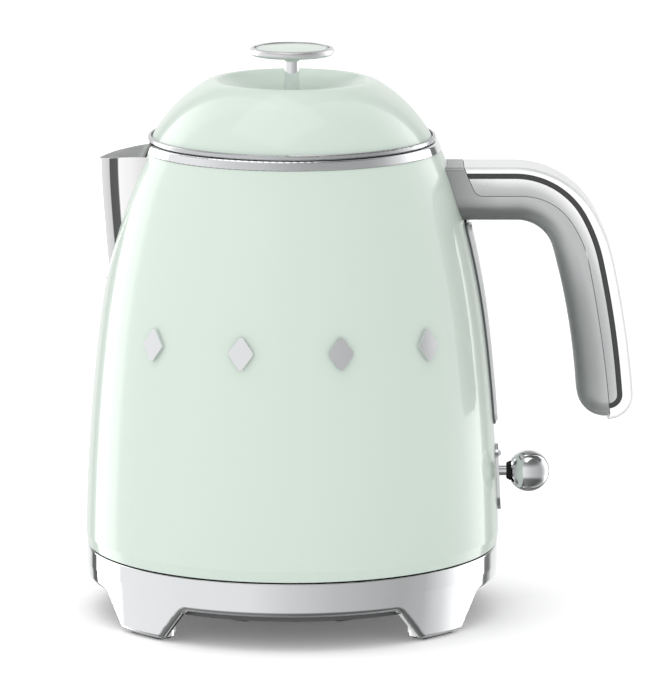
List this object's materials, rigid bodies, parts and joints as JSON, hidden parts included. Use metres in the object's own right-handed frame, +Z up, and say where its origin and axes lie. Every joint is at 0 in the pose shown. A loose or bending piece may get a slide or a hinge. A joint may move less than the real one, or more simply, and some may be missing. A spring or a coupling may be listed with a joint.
{
  "type": "cordless electric kettle",
  "caption": "Small retro cordless electric kettle, lifted off and turned on a round power base, with lift-off lid, tipping switch lever and pouring beak.",
  "frame": {"origin": "the kettle's own axis at the level of the surface that the feet stand on", "axes": "+Z up, -X towards the beak, +X towards the handle, -Y is the front with the studs, +Y is the back with the lead's inlet"},
  "size_m": [0.2085, 0.1593, 0.2169],
  "materials": {
    "base_chrome": "bright plated",
    "sole_rubber": "matt",
    "deck_plastic": "fine grain",
    "under_plastic": "fine grain",
    "connector_plastic": "satin",
    "contact_brass": "tinned",
    "lead_insulation": "smooth",
    "screw_steel": "zinc plated",
    "green_enamel": "gloss",
    "bright_chrome": "bright plated",
    "polished_steel": "polished",
    "heater_steel": "dull",
    "diffuser_aluminium": "rolled",
    "underside_plastic": "fine grain",
    "inner_plastic": "moulded",
    "grip_plastic": "satin",
    "cover_plastic": "satin metallic",
    "seal_rubber": "soft",
    "inlay_dark": "satin",
    "lid_plastic": "smooth",
    "window_clear": "clear, smoked",
    "frame_plastic": "satin",
    "lamp_lens": "milky"
  },
  "bodies": {
    "base": {"base_shell": "base_chrome", "foot_pads": "sole_rubber", "base_deck": "deck_plastic", "base_floor": "under_plastic", "cord_spool": "under_plastic", "connector_tower": "connector_plastic", "connector_line_pin": "contact_brass", "connector_neutral_ring": "contact_brass", "connector_earth_band": "contact_brass", "cord_inlet_bush": "connector_plastic", "cord_clamp": "under_plastic", "base_leads": "lead_insulation", "base_screws": "screw_steel"},
    "connector_shutter": {"connector_shutter": "deck_plastic"},
    "lid": {"lid_dome": "green_enamel", "lid_bead": "lid_plastic", "lid_pan": "lid_plastic", "lid_seal": "seal_rubber", "knob_stem": "bright_chrome", "knob_collar": "green_enamel", "knob_cap": "bright_chrome", "knob_inlay": "green_enamel", "lid_nut": "screw_steel"},
    "switch_lever": {"lever_rocker": "inner_plastic", "lever_stem": "bright_chrome", "lever_knob": "bright_chrome", "lever_collar": "seal_rubber"},
    "contact_plunger": {"contact_plunger": "inner_plastic"},
    "scale_filter": {"filter_frame": "frame_plastic", "filter_mesh": "polished_steel"},
    "kettle": {"body_shell": "green_enamel", "bottom_cover": "underside_plastic", "bottom_cover_screws": "screw_steel", "bottom_posts": "screw_steel", "control_screws": "screw_steel", "control_socket": "connector_plastic", "front_studs": "bright_chrome", "handle_core": "inner_plastic", "handle_cover": "cover_plastic", "handle_grip": "grip_plastic", "handle_inlay": "inlay_dark", "handle_screws": "screw_steel", "handle_trim": "bright_chrome", "heat_diffuser": "diffuser_aluminium", "heater_element": "heater_steel", "lamp_lens": "lamp_lens", "neck_ring": "bright_chrome", "snap_discs": "heater_steel", "socket_contacts": "contact_brass", "spout": "polished_steel", "steam_cup": "inner_plastic", "steam_tube": "polished_steel", "switch_bracket": "inner_plastic", "switch_pivot_pin": "heater_steel", "switch_plate": "bright_chrome", "thermostat_control": "connector_plastic", "vessel_floor": "polished_steel", "window_frame": "frame_plastic", "window_lens": "window_clear", "window_seal": "seal_rubber"}
  },
  "joints": [
    {"name": "kettle_swivel", "type": "hinge", "parent": "base", "child": "connector_shutter", "pos_m": [0, 0, 0.024], "axis": [0, 0, 1], "continuous": true},
    {"name": "kettle_lift", "type": "slide", "parent": "connector_shutter", "child": "kettle", "axis": [0, 0, 1], "range_m": [0, 0.08]},
    {"name": "lid_lift", "type": "slide", "parent": "kettle", "child": "lid", "axis": [0, 0, 1], "range_m": [0, 0.06]},
    {"name": "switch_tip", "type": "hinge", "parent": "kettle", "child": "switch_lever", "pos_m": [0.058, 0, 0.0533], "axis": [0, 1, 0], "range_deg": [0, 15]},
    {"name": "plunger_slide", "type": "slide", "parent": "kettle", "child": "contact_plunger", "axis": [0, 0, 1], "range_m": [0, 0.0025]},
    {"name": "filter_draw", "type": "slide", "parent": "kettle", "child": "scale_filter", "axis": [1, 0, 0], "range_m": [0, 0.025]}
  ],
  "couplings": [
    {"joint": "plunger_slide", "follows": "switch_tip", "m_per_rad": 0.009}
  ]
}
